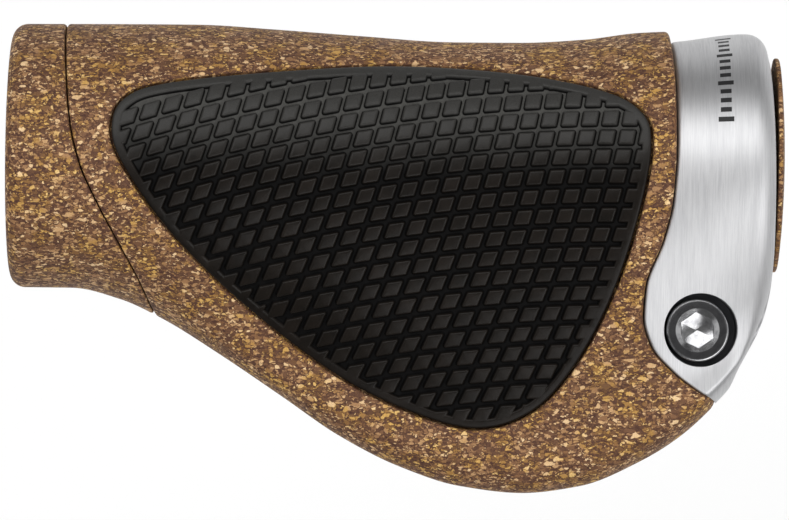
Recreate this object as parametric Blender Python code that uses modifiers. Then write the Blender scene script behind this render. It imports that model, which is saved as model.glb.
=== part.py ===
"""A right-hand winged handlebar grip: cork body, rubber palm pad, aluminium locking clamp and end plug.

Metres. +X runs outboard along the handlebar, +Y forwards and +Z up. The origin is on the bar's axis, in
the plane of the grip's inboard end face. The outer skin of the collar, the body and the clamp is one
master form, a round grip with a wing behind it, cut by parting lines that are curves in plan.
"""

import math

import bmesh
import bpy
from mathutils import Matrix, Vector

MM = 0.001

# Driving dimensions
SLEEVE_BORE_R = 11.2 * MM  # slides on a handlebar of 22.2 mm
SLEEVE_R = 12.4 * MM
GAP = 0.3 * MM  # between pieces that lie against each other
BORE_R = SLEEVE_R + GAP  # through the collar, the body and the clamp
PAD_THICKNESS = 1.6 * MM
FRAME_X = (34 * MM, 76 * MM)
FRAME_Z = (2.2 * MM, 4.2 * MM)
SADDLE_THICKNESS = 1.3 * MM
CLAMP_END = 98.5 * MM
SLIT_Z = (0.8 * MM, 2.6 * MM)
BOLT_X, BOLT_Y = 88.85 * MM, -21.45 * MM
COUNTERBORE_X, COUNTERBORE_R = 89.2 * MM, 4.7 * MM
BOLT_R = 2.5 * MM
HEAD_R, HEAD_HEIGHT = 4.05 * MM, 3.5 * MM
SEAT_Z = 5.2 * MM  # floor of the counterbore, under the bolt's washer
WASHER_R, WASHER_THICKNESS = 4.05 * MM, 1.0 * MM
HEAD_Z = SEAT_Z + GAP + WASHER_THICKNESS + GAP  # underside of the bolt's head
BOLT_LENGTH = 12 * MM
INSERT_Z = (-4.4 * MM, -0.5 * MM)
INSERT_R = 3.5 * MM
PLUG_END = 100.1 * MM
CAP_R = 13.9 * MM

# Master form: (x, value) pairs in millimetres, joined by monotone cubics
FRONT_RADIUS = [(0, 17.1), (24, 17.3), (34, 16.8), (45, 16.1), (57, 15.45), (66, 15.5), (74, 16.0),
                (81.5, 17.0), (86, 17.2), (99, 17.2)]
WING_REACH = [(0, 17.1), (8, 17.1), (14.3, 18.5), (19.5, 20.8), (27.4, 25.5), (35.2, 30.6), (43, 35.8),
              (50.9, 39.7), (58.7, 42.1), (66.5, 42.9), (74.2, 41.9), (82, 38.6), (87, 35.4), (91.5, 31.2),
              (95, 27), (99, 21)]

# Parting lines in plan: (y, x) pairs in millimetres, from the wing's tip to the front
COLLAR_LINE = [(-22, 19.4), (-16, 16.9), (-11, 14.3), (-6, 11.7), (-1, 9.5), (4.5, 8.2), (10, 7.6),
               (18, 6.9)]
CLAMP_LINE = [(-32, 92.6), (-30, 90.0), (-27.2, 86.0), (-23.8, 82.9), (-20, 81.8), (-16.3, 82.0),
              (-10, 84.2), (-5, 85.3), (2, 85.7), (10, 85.6), (18, 85.1)]
OUTBOARD_LINE = [(-32, 92.7), (-30, 93.1), (-27.2, 94.2), (-24.4, 95.5), (-21.4, 96.9), (-18.8, 97.8),
                 (-15.5, 98.35), (-12, 98.5), (-5, 98.45), (4, 98.3), (10, 98.1), (14, 97.9), (18, 97.7)]

# The palm pad's outline in plan, in millimetres: a closed smooth curve
PAD_OUTLINE = [(13.6, 3.8), (15.2, 7.4), (20.5, 9.4), (34.3, 11.1), (50, 12.1), (65, 11.3), (76, 9.2),
               (81, 6.5), (82.3, 2.5), (81.2, -5.5), (78, -16.4), (73.5, -25.7), (68.1, -32), (61, -34.5),
               (52.5, -32.6), (42.3, -27.7), (30.1, -18.6), (20.9, -9.5), (15, -1)]

# The wing plate's outline in plan, in millimetres
PLATE_OUTLINE = [(34, -12.9), (36, -15), (50, -31), (62, -35), (71, -34), (76, -22), (76, -12.9)]

# Looks: name, base colour, roughness and metallic value
CORK = ("cork", (0.22, 0.12, 0.05), 0.8, 0.0)
NYLON = ("nylon", (0.03, 0.03, 0.032), 0.5, 0.0)
RUBBER = ("rubber", (0.018, 0.018, 0.018), 0.65, 0.0)
ALUMINIUM = ("aluminium", (0.78, 0.78, 0.79), 0.32, 1.0)
STEEL = ("steel", (0.55, 0.55, 0.56), 0.25, 1.0)

AROUND = 48  # points round each section of the master form
TURNED_STEPS = 40  # and round each turned piece


def ease(value):
    """A smooth step from 0 to 1."""
    t = min(max(value, 0.0), 1.0)
    return t * t * (3 - 2 * t)


class Line:
    """A monotone cubic through (input, output) pairs in millimetres; called with metres, it gives metres."""

    def __init__(self, stations):
        self.stations = stations
        steps = [(b[0] - a[0], (b[1] - a[1]) / (b[0] - a[0])) for a, b in zip(stations, stations[1:])]
        self.slopes = [steps[0][1]]
        for (h0, d0), (h1, d1) in zip(steps, steps[1:]):
            w0, w1 = 2 * h1 + h0, h1 + 2 * h0
            self.slopes.append((w0 + w1) / (w0 / d0 + w1 / d1) if d0 * d1 > 0 else 0.0)
        self.slopes.append(steps[-1][1])

    def __call__(self, at):
        s = self.stations
        value = min(max(at / MM, s[0][0]), s[-1][0])
        i = max(k for k in range(len(s) - 1) if k == 0 or s[k][0] <= value)
        width = s[i + 1][0] - s[i][0]
        t = (value - s[i][0]) / width
        rise = (3 * t**2 - 2 * t**3) * (s[i + 1][1] - s[i][1])
        bend = (t**3 - 2 * t**2 + t) * self.slopes[i] + (t**3 - t**2) * self.slopes[i + 1]
        return (s[i][1] + rise + bend * width) * MM


front_radius = Line(FRONT_RADIUS)
wing_reach = Line(WING_REACH)
collar_line = Line(COLLAR_LINE)
clamp_line = Line(CLAMP_LINE)
outboard_line = Line(OUTBOARD_LINE)


def skin_z(x, y, upper):
    """Height of the master form's upper or lower skin: a circle in front, a thinning wing behind."""
    radius, side = front_radius(x), 1 if upper else -1
    if y >= 0:
        return side * math.sqrt(max(radius**2 - y**2, 0.0))
    share = min(-y / wing_reach(x), 1.0)
    wing = ease((wing_reach(x) - radius) / (14 * MM))
    outboard = ease((x - 70 * MM) / (20 * MM))
    nose = math.sqrt(max(1 - (max(share - 0.90, 0.0) / 0.10) ** 2, 0.0))
    rim = 0.27 + 0.12 * outboard
    thickness = nose * (rim + 0.06 * (1 - share**2) + (0.94 - rim) * (1 - ease(share / 0.85)))
    round_part = math.sqrt(max(1 - share**2, 0.0))
    rise = (4.6 - 2.2 * outboard) * ease(share / 0.65) - 1.5 * share**3 * (1 - outboard)
    return side * radius * ((1 - wing) * round_part + wing * thickness) + wing * rise * MM


def skin_yz(x, angle):
    """Point of the section at x: angle 0 is the front, a quarter turn the top, a half turn the wing's tip."""
    radius, reach = front_radius(x), wing_reach(x)
    y = (radius - reach) / 2 + (radius + reach) / 2 * math.cos(angle)
    return y, skin_z(x, y, math.sin(angle) >= 0)


def inset_point(x, angle, inset):
    """The section's point moved into the solid, square to the section's outline."""
    y, z = skin_yz(x, angle)
    (y0, z0), (y1, z1) = skin_yz(x, angle - 0.02), skin_yz(x, angle + 0.02)
    run = math.hypot(y1 - y0, z1 - z0)
    return x, y - (z1 - z0) / run * inset, z + (y1 - y0) / run * inset


def material(look):
    name, colour, roughness, metallic = look
    made = bpy.data.materials.get(name) or bpy.data.materials.new(name)
    made.use_nodes = True
    shader = made.node_tree.nodes["Principled BSDF"]
    shader.inputs["Base Color"].default_value = (*colour, 1.0)
    shader.inputs["Roughness"].default_value = roughness
    shader.inputs["Metallic"].default_value = metallic
    return made


def place(name, mesh, collection, look=None):
    """A new object: a part when it has a look, and otherwise a cutter that shows as wires."""
    made = bpy.data.objects.new(name, mesh)
    collection.objects.link(made)
    if look:
        mesh.materials.append(material(look))
        mesh.shade_smooth()
        mesh.set_sharp_from_angle(angle=math.radians(35))
    else:
        made.hide_render = True
        made.display_type = "WIRE"
    return made


def mesh_from(name, build):
    """A mesh made by a function that fills a bmesh, with its faces pointing out."""
    work = bmesh.new()
    build(work)
    bmesh.ops.recalc_face_normals(work, faces=work.faces)
    mesh = bpy.data.meshes.new(name)
    work.to_mesh(mesh)
    work.free()
    return mesh


def band(work, ring_a, ring_b):
    """Quads between two closed rings of vertices."""
    for k in range(len(ring_a)):
        n = (k + 1) % len(ring_a)
        work.faces.new((ring_a[k], ring_a[n], ring_b[n], ring_b[k]))


def form(name, stations, collection, look):
    """A length of the master form with the bore through it, lofted through (x, inset(angle)) stations."""
    angles = [2 * math.pi * k / AROUND for k in range(AROUND)]
    rings = [[inset_point(x, angle, inset(angle)) for angle in angles] for x, inset in stations]
    for x in (stations[-1][0], stations[0][0]):
        rings.append([(x, BORE_R * math.cos(angle), BORE_R * math.sin(angle)) for angle in angles])

    def build(work):
        made = [[work.verts.new(p) for p in ring] for ring in rings]
        for a, b in zip(made, made[1:] + made[:1]):
            band(work, a, b)

    return place(name, mesh_from(name, build), collection, look)


def turned(name, profile, collection, look=None, upright=False):
    """A solid of revolution about X, or upright about Z.

    The profile's (along, radius) pairs run from the high end down the outer side. It ends on the axis,
    or closes on itself when it starts clear of the axis.
    """
    mesh = bpy.data.meshes.new(name)
    edges = [(k, k + 1) for k in range(len(profile) - 1)]
    if profile[0][1] > 0:
        edges.append((len(profile) - 1, 0))
    mesh.from_pydata([(radius, 0, along) for along, radius in profile], edges, [])
    made = place(name, mesh, collection, look)
    screw = made.modifiers.new("turn", "SCREW")
    screw.steps = screw.render_steps = TURNED_STEPS
    screw.use_merge_vertices = True
    screw.merge_threshold = 0.01 * MM
    if not upright:
        made.rotation_euler.y = math.pi / 2
    return made


def box(name, low, high, collection):
    middle = [(a + b) / 2 for a, b in zip(low, high)]
    size = [b - a for a, b in zip(low, high)]
    matrix = Matrix.Translation(middle) @ Matrix.Diagonal((*size, 1.0))
    mesh = mesh_from(name, lambda work: bmesh.ops.create_cube(work, size=1.0, matrix=matrix))
    return place(name, mesh, collection)


def prism(name, radius, low, high, sides, collection, x=BOLT_X):
    """An upright prism on the bolt's axis, or beside it: a cylinder, or a hexagon with six sides."""
    matrix = Matrix.Translation((x, BOLT_Y, (low + high) / 2))

    def build(work):
        bmesh.ops.create_cone(work, cap_ends=True, segments=sides, radius1=radius, radius2=radius,
                              depth=high - low, matrix=matrix)

    return place(name, mesh_from(name, build), collection)


def solidified(name, mesh, thickness, collection, look=None):
    """An open sheet given its thickness, on the side that its faces point to."""
    made = place(name, mesh, collection, look)
    solid = made.modifiers.new("thickness", "SOLIDIFY")
    solid.thickness = thickness
    solid.offset = 1
    return made


def boolean(target, other, operation="DIFFERENCE"):
    modifier = target.modifiers.new(other.name, "BOOLEAN")
    modifier.operation = operation
    modifier.object = other


def pad_outline(grow, count=44):
    """The pad's outline in plan, moved out by grow: a closed Catmull-Rom curve through its points."""
    points = [Vector(p) * MM for p in PAD_OUTLINE]
    total = len(points)
    curve = []
    for k in range(count):
        i, t = divmod(k * total / count, 1)
        p0, p1, p2, p3 = (points[(int(i) + j) % total] for j in (-1, 0, 1, 2))
        curve.append(0.5 * (2 * p1 + (p2 - p0) * t + (2 * p0 - 5 * p1 + 4 * p2 - p3) * t**2
                            + (3 * p1 - p0 - 3 * p2 + p3) * t**3))
    moved = []
    for k, point in enumerate(curve):
        along = (curve[(k + 1) % count] - curve[k - 1]).normalized()
        moved.append(point + Vector((-along.y, along.x)) * grow)
    return moved


def over_skin(plan, lift):
    """The point over a plan position that stands off the upper skin by lift, along its normal."""
    x, y, step = *plan, 0.2 * MM
    slope_x = (skin_z(x + step, y, True) - skin_z(x - step, y, True)) / (2 * step)
    slope_y = (skin_z(x, y + step, True) - skin_z(x, y - step, True)) / (2 * step)
    return Vector((x, y, skin_z(x, y, True))) + Vector((-slope_x, -slope_y, 1)).normalized() * lift


def pad_slab(name, grow, low, high, rings=6):
    """A slab that follows the upper skin inside the pad's outline, between two lifts off the skin."""
    outline = pad_outline(grow)
    middle = sum(outline, Vector((0, 0))) / len(outline)

    def build(work):
        edges = []
        for lift in (low, high):
            hub = work.verts.new(over_skin(middle, lift))
            inner = None
            for r in range(1, rings + 1):
                ring = [work.verts.new(over_skin(middle.lerp(p, r / rings), lift)) for p in outline]
                if inner:
                    band(work, inner, ring)
                else:
                    for k in range(len(ring)):
                        work.faces.new((hub, ring[k], ring[(k + 1) % len(ring)]))
                inner = ring
            edges.append(inner)
        band(work, *edges)

    return mesh_from(name, build)


def cut_off(target, name, line, shift, far_x, cutters):
    """Cut away what lies between a parting line, moved outboard by shift, and a plane at far_x."""
    height, ends = 30 * MM, (-50 * MM, 25 * MM)
    y_values = [y * MM for y, _ in line.stations]
    y_values += [(a + b) / 2 for a, b in zip(y_values, y_values[1:])]
    edge = [(line(y) + shift, y, -height) for y in sorted([*y_values, *ends])]
    mesh = bpy.data.meshes.new(name)
    corners = [*edge, (far_x, ends[1], -height), (far_x, ends[0], -height)]
    if far_x < edge[0][0]:
        corners.reverse()
    mesh.from_pydata(corners, [], [range(len(corners))[::-1]])
    boolean(target, solidified(name, mesh, 2 * height, cutters))


def make_thumb_collar(parts, cutters):
    """The inboard collar, with its end rounded over."""
    rounding = 1.9 * MM
    stations = []
    for turn in (math.radians(a) for a in (90, 60, 30, 0)):
        inset = rounding * (1 - math.cos(turn))
        stations.append((rounding * (1 - math.sin(turn)), lambda angle, inset=inset: inset))
    stations += [(x * MM, lambda angle: 0) for x in (7, 12, 17, 22)]
    collar = form("thumb_collar", stations, parts, CORK)
    cut_off(collar, "collar_end", collar_line, -GAP / 2, 40 * MM, cutters)


def make_core_sleeve(parts, cutters):
    """The tube on the handlebar, slotted at its outboard end so that the clamp can squeeze it."""
    end, slot_start, half_slot = CLAMP_END - GAP, 84 * MM, 1 * MM
    profile = [(end, SLEEVE_R), (0, SLEEVE_R), (0, SLEEVE_BORE_R), (end, SLEEVE_BORE_R)]
    sleeve = turned("core_sleeve", profile, parts, NYLON)
    for k, turn in enumerate((math.pi / 4, -math.pi / 4)):
        reach = SLEEVE_R + 2 * MM
        low, high = (slot_start, -reach, -half_slot), (end + 2 * MM, reach, half_slot)
        slot = box(f"sleeve_slot_{k}", low, high, cutters)
        slot.rotation_euler.x = turn
        boolean(sleeve, slot)


def wing_plate(name, grow):
    """The wing plate's lower face, a flat sheet in its outline; grow moves it out all round."""
    outline = [Vector(p) * MM for p in PLATE_OUTLINE]
    middle = sum(outline, Vector((0, 0))) / len(outline)
    corners = []
    for p in outline:
        out_x, out_y = math.copysign(grow, p.x - middle.x), math.copysign(grow, p.y - middle.y)
        corners.append((p.x + out_x, p.y + out_y, FRAME_Z[0] - grow))
    mesh = bpy.data.meshes.new(name)
    mesh.from_pydata(corners, [], [range(len(corners))])
    return mesh


def saddle(name, grow):
    """The saddle's inner face: a strip of the sleeve's round, behind it."""
    inner, steps = BORE_R + GAP - grow, 8
    spread = math.radians(45) + grow / inner
    ends = [FRAME_X[0] - grow, FRAME_X[1] + grow]
    corners = []
    for k in range(steps + 1):
        angle = math.pi - spread + 2 * spread * k / steps
        corners += [(x, inner * math.cos(angle), inner * math.sin(angle)) for x in ends]
    mesh = bpy.data.meshes.new(name)
    mesh.from_pydata(corners, [], [(2 * k, 2 * k + 2, 2 * k + 3, 2 * k + 1) for k in range(steps)])
    return mesh


def make_palm_frame(parts, cutters):
    """The stiff plate inside the wing, joined to a saddle that lies on the sleeve."""
    thickness = FRAME_Z[1] - FRAME_Z[0]
    frame = solidified("palm_frame", wing_plate("palm_frame", 0), thickness, parts, NYLON)
    boolean(frame, solidified("saddle", saddle("saddle", 0), SADDLE_THICKNESS, cutters), "UNION")


def make_grip_body(parts, cutters):
    """The cork body and its wing, with a pocket for the pad and a cavity for the frame."""
    first_x, last_x, spans = 5 * MM, 94 * MM, 18
    stations = [(first_x + (last_x - first_x) * k / spans, lambda angle: 0) for k in range(spans + 1)]
    body = form("grip_body", stations, parts, CORK)
    cut_off(body, "body_inboard", collar_line, GAP / 2, -20 * MM, cutters)
    cut_off(body, "body_outboard", clamp_line, -GAP / 2, 120 * MM, cutters)
    pocket = pad_slab("pad_pocket", GAP, -PAD_THICKNESS - GAP, 3 * MM)
    boolean(body, place("pad_pocket", pocket, cutters))
    plate_depth, saddle_depth = FRAME_Z[1] - FRAME_Z[0] + 2 * GAP, SADDLE_THICKNESS + 2 * GAP
    boolean(body, solidified("plate_cavity", wing_plate("plate_cavity", GAP), plate_depth, cutters))
    boolean(body, solidified("saddle_cavity", saddle("saddle_cavity", GAP), saddle_depth, cutters))


def make_palm_pad(parts):
    """The rubber pad that lies in its pocket, flush with the skin."""
    place("palm_pad", pad_slab("palm_pad", 0, -PAD_THICKNESS, 0), parts, RUBBER)


def make_clamp_body(parts, cutters):
    """The clamp: a ring with an ear behind it, slit into two jaws that the bolt draws together."""
    edge_x, blend, behind, in_front = 84 * MM, 11 * MM, 0.3 * MM, 1.2 * MM
    rounding = {98.5: 2.2, 98.1: 1.2, 97.3: 0.5}

    def inset_at(x):
        """Lower than the cork at the inboard edge, most of all in front, and rounded at the outboard end."""
        step = 1 - ease((x * MM - edge_x) / blend)
        corner, more = rounding.get(x, 0) * MM, in_front - behind
        return lambda angle: step * (behind + more * ease((math.cos(angle) + 0.5) / 1.2)) + corner

    stations = [(x * MM, inset_at(x)) for x in (80, 82.5, 85, 87.5, 90, 92.5, 95, 97.3, 98.1, 98.5)]
    clamp = form("clamp_body", stations, parts, ALUMINIUM)
    cut_off(clamp, "clamp_inboard", clamp_line, GAP / 2, 60 * MM, cutters)
    cut_off(clamp, "clamp_outboard", outboard_line, 0, 120 * MM, cutters)
    slit = box("clamp_slit", (78 * MM, -36 * MM, SLIT_Z[0]), (102 * MM, -12 * MM, SLIT_Z[1]), cutters)
    boolean(clamp, slit)
    below, above = -12 * MM, 20 * MM
    shelf = INSERT_Z[1] + GAP
    counterbore = prism("counterbore", COUNTERBORE_R, SEAT_Z, above, TURNED_STEPS, cutters, COUNTERBORE_X)
    boolean(clamp, counterbore)
    boolean(clamp, prism("bolt_hole", BOLT_R + GAP, below, above, 24, cutters))
    boolean(clamp, prism("insert_hole", INSERT_R + GAP, below, shelf, 32, cutters))


def upright_ring(name, bore, radius, low, high, parts):
    """A plain steel ring on the bolt's axis."""
    profile = [(high, radius), (low, radius), (low, bore), (high, bore)]
    turned(name, profile, parts, STEEL, upright=True).location = (BOLT_X, BOLT_Y, 0)


def make_clamp_bolt(parts, cutters):
    """The low-head M5 cap screw, with a 4 mm hexagon socket."""
    head_top, tip = HEAD_Z + HEAD_HEIGHT, HEAD_Z - BOLT_LENGTH
    chamfer, socket_depth, socket_across = 0.5 * MM, 2.2 * MM, 4 * MM
    profile = [(head_top, 0), (head_top, HEAD_R - chamfer), (head_top - chamfer, HEAD_R), (HEAD_Z, HEAD_R),
               (HEAD_Z, BOLT_R), (tip + chamfer, BOLT_R), (tip, BOLT_R - chamfer), (tip, 0)]
    bolt = turned("clamp_bolt", profile, parts, STEEL, upright=True)
    bolt.location = (BOLT_X, BOLT_Y, 0)
    hexagon_r = socket_across / math.sqrt(3)
    boolean(bolt, prism("socket", hexagon_r, head_top - socket_depth, head_top + 1 * MM, 6, cutters))


def make_end_plug(parts):
    """The plug: a hollow ribbed stem for the handlebar's bore, and a domed cork cap on its flange."""
    flange_r, stem_r, rib_r, hollow_r = 10.8 * MM, 8.4 * MM, 9.2 * MM, 6.6 * MM
    outer_face = CLAMP_END
    flange_x, inner_end, hollow_end = outer_face - 1.3 * MM, outer_face - 18 * MM, outer_face - 3 * MM
    rib_pitch, rib_count, rib_half = 3 * MM, 5, 0.6 * MM
    profile = [(outer_face, 0), (outer_face, flange_r), (flange_x, flange_r), (flange_x, stem_r)]
    for k in range(rib_count):
        crest = flange_x - rib_pitch * (k + 0.7)
        profile += [(crest + 2 * rib_half, stem_r), (crest + rib_half, rib_r), (crest, rib_r),
                    (crest - rib_half, stem_r)]
    tip_r = stem_r - 0.6 * MM
    profile += [(inner_end, tip_r), (inner_end, hollow_r), (hollow_end, hollow_r), (hollow_end, 0)]
    turned("plug_stem", profile, parts, NYLON)
    back = CLAMP_END + GAP
    dome = [(PLUG_END - 1.0 * MM * t**2.4, CAP_R * t) for t in (0, 0.35, 0.6, 0.8, 0.93, 1)]
    profile = [*dome, (back + 0.1 * MM, CAP_R), (back, CAP_R - 0.2 * MM), (back, 0)]
    turned("plug_cap", profile, parts, CORK)


def main():
    for old in list(bpy.data.objects):
        bpy.data.objects.remove(old)
    parts = bpy.data.collections.new("winged_handlebar_grip")
    cutters = bpy.data.collections.new("cutters")
    for collection in (parts, cutters):
        bpy.context.scene.collection.children.link(collection)
    make_thumb_collar(parts, cutters)
    make_core_sleeve(parts, cutters)
    make_palm_frame(parts, cutters)
    make_grip_body(parts, cutters)
    make_palm_pad(parts)
    make_clamp_body(parts, cutters)
    upright_ring("thread_insert", BOLT_R + GAP, INSERT_R, *INSERT_Z, parts)
    washer_z = SEAT_Z + GAP
    upright_ring("bolt_washer", BOLT_R + GAP, WASHER_R, washer_z, washer_z + WASHER_THICKNESS, parts)
    make_clamp_bolt(parts, cutters)
    make_end_plug(parts)


main()
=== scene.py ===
"""Looks for the winged handlebar grip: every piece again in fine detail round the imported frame.

Lengths are in millimetres until a mesh is made. The frame's axes are kept: +X runs outboard along the
handlebar, +Y forwards and +Z up, from an origin on the bar's axis in the plane of the inboard end face.
"""
import math

import bmesh
import bpy
import numpy as np
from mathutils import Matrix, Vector
from mathutils.geometry import delaunay_2d_cdt


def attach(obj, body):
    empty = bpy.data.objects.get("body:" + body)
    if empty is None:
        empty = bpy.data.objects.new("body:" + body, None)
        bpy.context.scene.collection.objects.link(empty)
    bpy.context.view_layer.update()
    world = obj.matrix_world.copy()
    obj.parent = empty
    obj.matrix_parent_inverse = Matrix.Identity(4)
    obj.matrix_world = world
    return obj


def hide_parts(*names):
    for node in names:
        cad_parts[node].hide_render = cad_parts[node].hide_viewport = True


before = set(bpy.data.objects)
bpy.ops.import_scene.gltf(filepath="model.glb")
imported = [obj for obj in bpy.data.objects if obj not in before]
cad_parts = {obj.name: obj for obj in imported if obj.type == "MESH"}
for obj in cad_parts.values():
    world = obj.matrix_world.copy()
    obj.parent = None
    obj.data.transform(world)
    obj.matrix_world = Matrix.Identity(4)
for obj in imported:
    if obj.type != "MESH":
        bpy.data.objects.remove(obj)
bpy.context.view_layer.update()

MM = 0.001

# The frame's own sizes
GAP = 0.3
SEAM = 0.2  # between the pieces of the skin, where their rounded edges meet
SLEEVE_BORE_R, SLEEVE_R, SLEEVE_END = 11.2, 12.4, 98.2
BORE_R = SLEEVE_R + GAP
PAD_THICKNESS = 1.6
CLAMP_END = 98.5
PLUG_END, CAP_R = 100.1, 13.9
BOLT_X, BOLT_Y, BOLT_R = 88.85, -21.45, 2.5
COUNTERBORE_X, COUNTERBORE_R, SEAT_Z = 89.2, 4.7, 5.2
HEAD_Z, HEAD_R, HEAD_HEIGHT, WASHER_R = 6.8, 4.05, 3.5, 4.05
SLIT_Z = (0.8, 2.6)
INSERT_Z, INSERT_R = (-4.4, -0.5), 3.5
THREAD_PITCH, THREAD_STEP = 0.8, 0.08  # the step is between the points of a threaded profile

# Master form: (x, value) stations
FRONT_RADIUS = [(0, 17.1), (24, 17.3), (34, 16.8), (45, 16.1), (57, 15.45), (66, 15.5), (74, 16.0),
                (81.5, 17.0), (86, 17.2), (99, 17.2)]
WING_REACH = [(0, 17.1), (8, 17.1), (14.3, 18.5), (19.5, 20.8), (27.4, 25.5), (35.2, 30.6), (43, 35.8),
              (50.9, 39.7), (58.7, 42.1), (66.5, 42.9), (74.2, 41.9), (82, 38.6), (87, 35.4), (91.5, 31.2),
              (95, 27), (99, 21)]

# Parting lines and the clamp's outboard edge in plan: (y, x) stations
COLLAR_LINE = [(-22, 19.4), (-16, 16.9), (-11, 14.3), (-6, 11.7), (-1, 9.5), (4.5, 8.2), (10, 7.6),
               (18, 6.9)]
CLAMP_LINE = [(-32, 92.6), (-30, 90.0), (-27.2, 86.0), (-23.8, 82.9), (-20, 81.8), (-16.3, 82.0),
              (-10, 84.2), (-5, 85.3), (2, 85.7), (10, 85.6), (18, 85.1)]
OUTBOARD_LINE = [(-32, 92.7), (-30, 93.1), (-27.2, 94.2), (-24.4, 95.5), (-21.4, 96.9), (-18.8, 97.8),
                 (-15.5, 98.35), (-12, 98.5), (-5, 98.45), (4, 98.3), (10, 98.1), (14, 97.9), (18, 97.7)]

# The palm pad's outline in plan, and its relief
PAD_OUTLINE = [(13.6, 3.8), (15.2, 7.4), (20.5, 9.4), (34.3, 11.1), (50, 12.1), (65, 11.3), (76, 9.2),
               (81, 6.5), (82.3, 2.5), (81.2, -5.5), (78, -16.4), (73.5, -25.7), (68.1, -32), (61, -34.5),
               (52.5, -32.6), (42.3, -27.7), (30.1, -18.6), (20.9, -9.5), (15, -1)]
RIM_WIDTH = 1.15
OUTER_ROUND = 0.35
GROOVE = 0.62
STUD_CORNER = 0.2
# height over signed distance from the edge of a stud or of the rim, measured inwards
RELIEF = [(-0.2, -0.6), (-0.12, -0.52), (-0.05, -0.34), (0.01, -0.18), (0.07, -0.085),
          (0.14, -0.035), (0.22, -0.01), (0.3, 0.0)]

# The studs' lattice: columns run in from the outboard end, and rows back from the front
FIRST_STUD = (76.2, 5.64)
COLUMN_PITCH, ROW_PITCH = 2.58, 2.496
ROW_BOW, BOW_X = 0.00257, 80
COLUMN_LEAN, COLUMN_FAN, COLUMN_BOW = 0.2195, 0.00554, 0.00406

# The row of printed bars on the clamp, by angle forwards from the top
FIRST_BAR, BAR_PITCH, BARS = 17, 4.6, 13
BAR_X, BAR_HALF_LENGTH, LONG_BAR_EXTRA = 91.9, 0.7, 0.3

AROUND = 288  # points round each section


# ---------------------------------------------------------------- master form

def ease(value):
    """A smooth step from 0 to 1."""
    t = np.clip(value, 0, 1)
    return t * t * (3 - 2 * t)


class Line:
    """A monotone cubic through (input, output) stations."""

    def __init__(self, stations):
        self.at, self.value = np.array(stations, float).T
        width = np.diff(self.at)
        slope = np.diff(self.value) / width
        before, after = slope[:-1], slope[1:]
        w0, w1 = 2 * width[1:] + width[:-1], width[1:] + 2 * width[:-1]
        agree = before * after > 0
        blend = w0 * np.where(agree, after, 1) + w1 * np.where(agree, before, 1)
        inner = np.where(agree, (w0 + w1) * before * after / blend, 0)
        self.slope = np.concatenate(([slope[0]], inner, [slope[-1]]))

    def __call__(self, at):
        at = np.clip(at, self.at[0], self.at[-1])
        i = np.clip(np.searchsorted(self.at, at, side="right") - 1, 0, len(self.at) - 2)
        width = self.at[i + 1] - self.at[i]
        t = (at - self.at[i]) / width
        rise = (3 * t**2 - 2 * t**3) * (self.value[i + 1] - self.value[i])
        bend = (t**3 - 2 * t**2 + t) * self.slope[i] + (t**3 - t**2) * self.slope[i + 1]
        return self.value[i] + rise + bend * width


front_radius = Line(FRONT_RADIUS)
wing_reach = Line(WING_REACH)
collar_line = Line(COLLAR_LINE)
clamp_line = Line(CLAMP_LINE)
outboard_line = Line(OUTBOARD_LINE)


def skin_z(x, y, upper=True):
    """Height of the master form's upper or lower skin: a circle in front, a thinning wing behind."""
    radius, reach = front_radius(x), wing_reach(x)
    side = np.where(upper, 1.0, -1.0)
    in_front = np.sqrt(np.clip(radius**2 - y**2, 0, None))
    share = np.clip(-y / reach, 0, 1)
    wing = ease((reach - radius) / 14)
    outboard = ease((x - 70) / 20)
    nose = np.sqrt(np.clip(1 - (np.clip(share - 0.90, 0, None) / 0.10) ** 2, 0, 1))
    rim = 0.27 + 0.12 * outboard
    thickness = nose * (rim + 0.06 * (1 - share**2) + (0.94 - rim) * (1 - ease(share / 0.85)))
    round_part = np.sqrt(np.clip(1 - share**2, 0, 1))
    rise = (4.6 - 2.2 * outboard) * ease(share / 0.65) - 1.5 * share**3 * (1 - outboard)
    behind = radius * ((1 - wing) * round_part + wing * thickness)
    return np.where(y >= 0, side * in_front, side * behind + wing * rise)


def section(x, angle):
    """Point of the section at x: angle 0 is the front, a quarter turn the top, a half turn the wing's tip."""
    radius, reach = front_radius(x), wing_reach(x)
    y = (radius - reach) / 2 + (radius + reach) / 2 * np.cos(angle)
    return y, skin_z(x, y, np.sin(angle) >= 0)


def inset_ring(x, angle, inset):
    """A ring of the skin moved into the solid, square to the section's outline."""
    y, z = section(x, angle)
    (y0, z0), (y1, z1) = section(x, angle - 0.01), section(x, angle + 0.01)
    run = np.hypot(y1 - y0, z1 - z0)
    return np.stack([x, y - (z1 - z0) / run * inset, z + (y1 - y0) / run * inset], axis=1)


def crossing(line, angle, shift):
    """The x where the skin's line at each angle meets a parting line moved outboard by shift."""
    low, high = np.zeros_like(angle), np.full_like(angle, 110.0)
    for _ in range(30):
        middle = (low + high) / 2
        short = middle < line(section(middle, angle)[0]) + shift
        low, high = np.where(short, middle, low), np.where(short, high, middle)
    return low


def over_skin(plan, lift):
    """Points over plan positions that stand off the upper skin by lift, along its normal."""
    x, y, step = plan[:, 0], plan[:, 1], 0.1
    slope_x = (skin_z(x + step, y) - skin_z(x - step, y)) / (2 * step)
    slope_y = (skin_z(x, y + step) - skin_z(x, y - step)) / (2 * step)
    normal = np.stack([-slope_x, -slope_y, np.ones_like(x)], axis=1)
    normal /= np.linalg.norm(normal, axis=1)[:, None]
    return np.stack([x, y, skin_z(x, y)], axis=1) + normal * np.reshape(lift, (-1, 1))


# ---------------------------------------------------------------- meshes

def full_turn(count=AROUND):
    """Angles of a full turn in equal steps."""
    return np.arange(count) * 2 * math.pi / count


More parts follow.
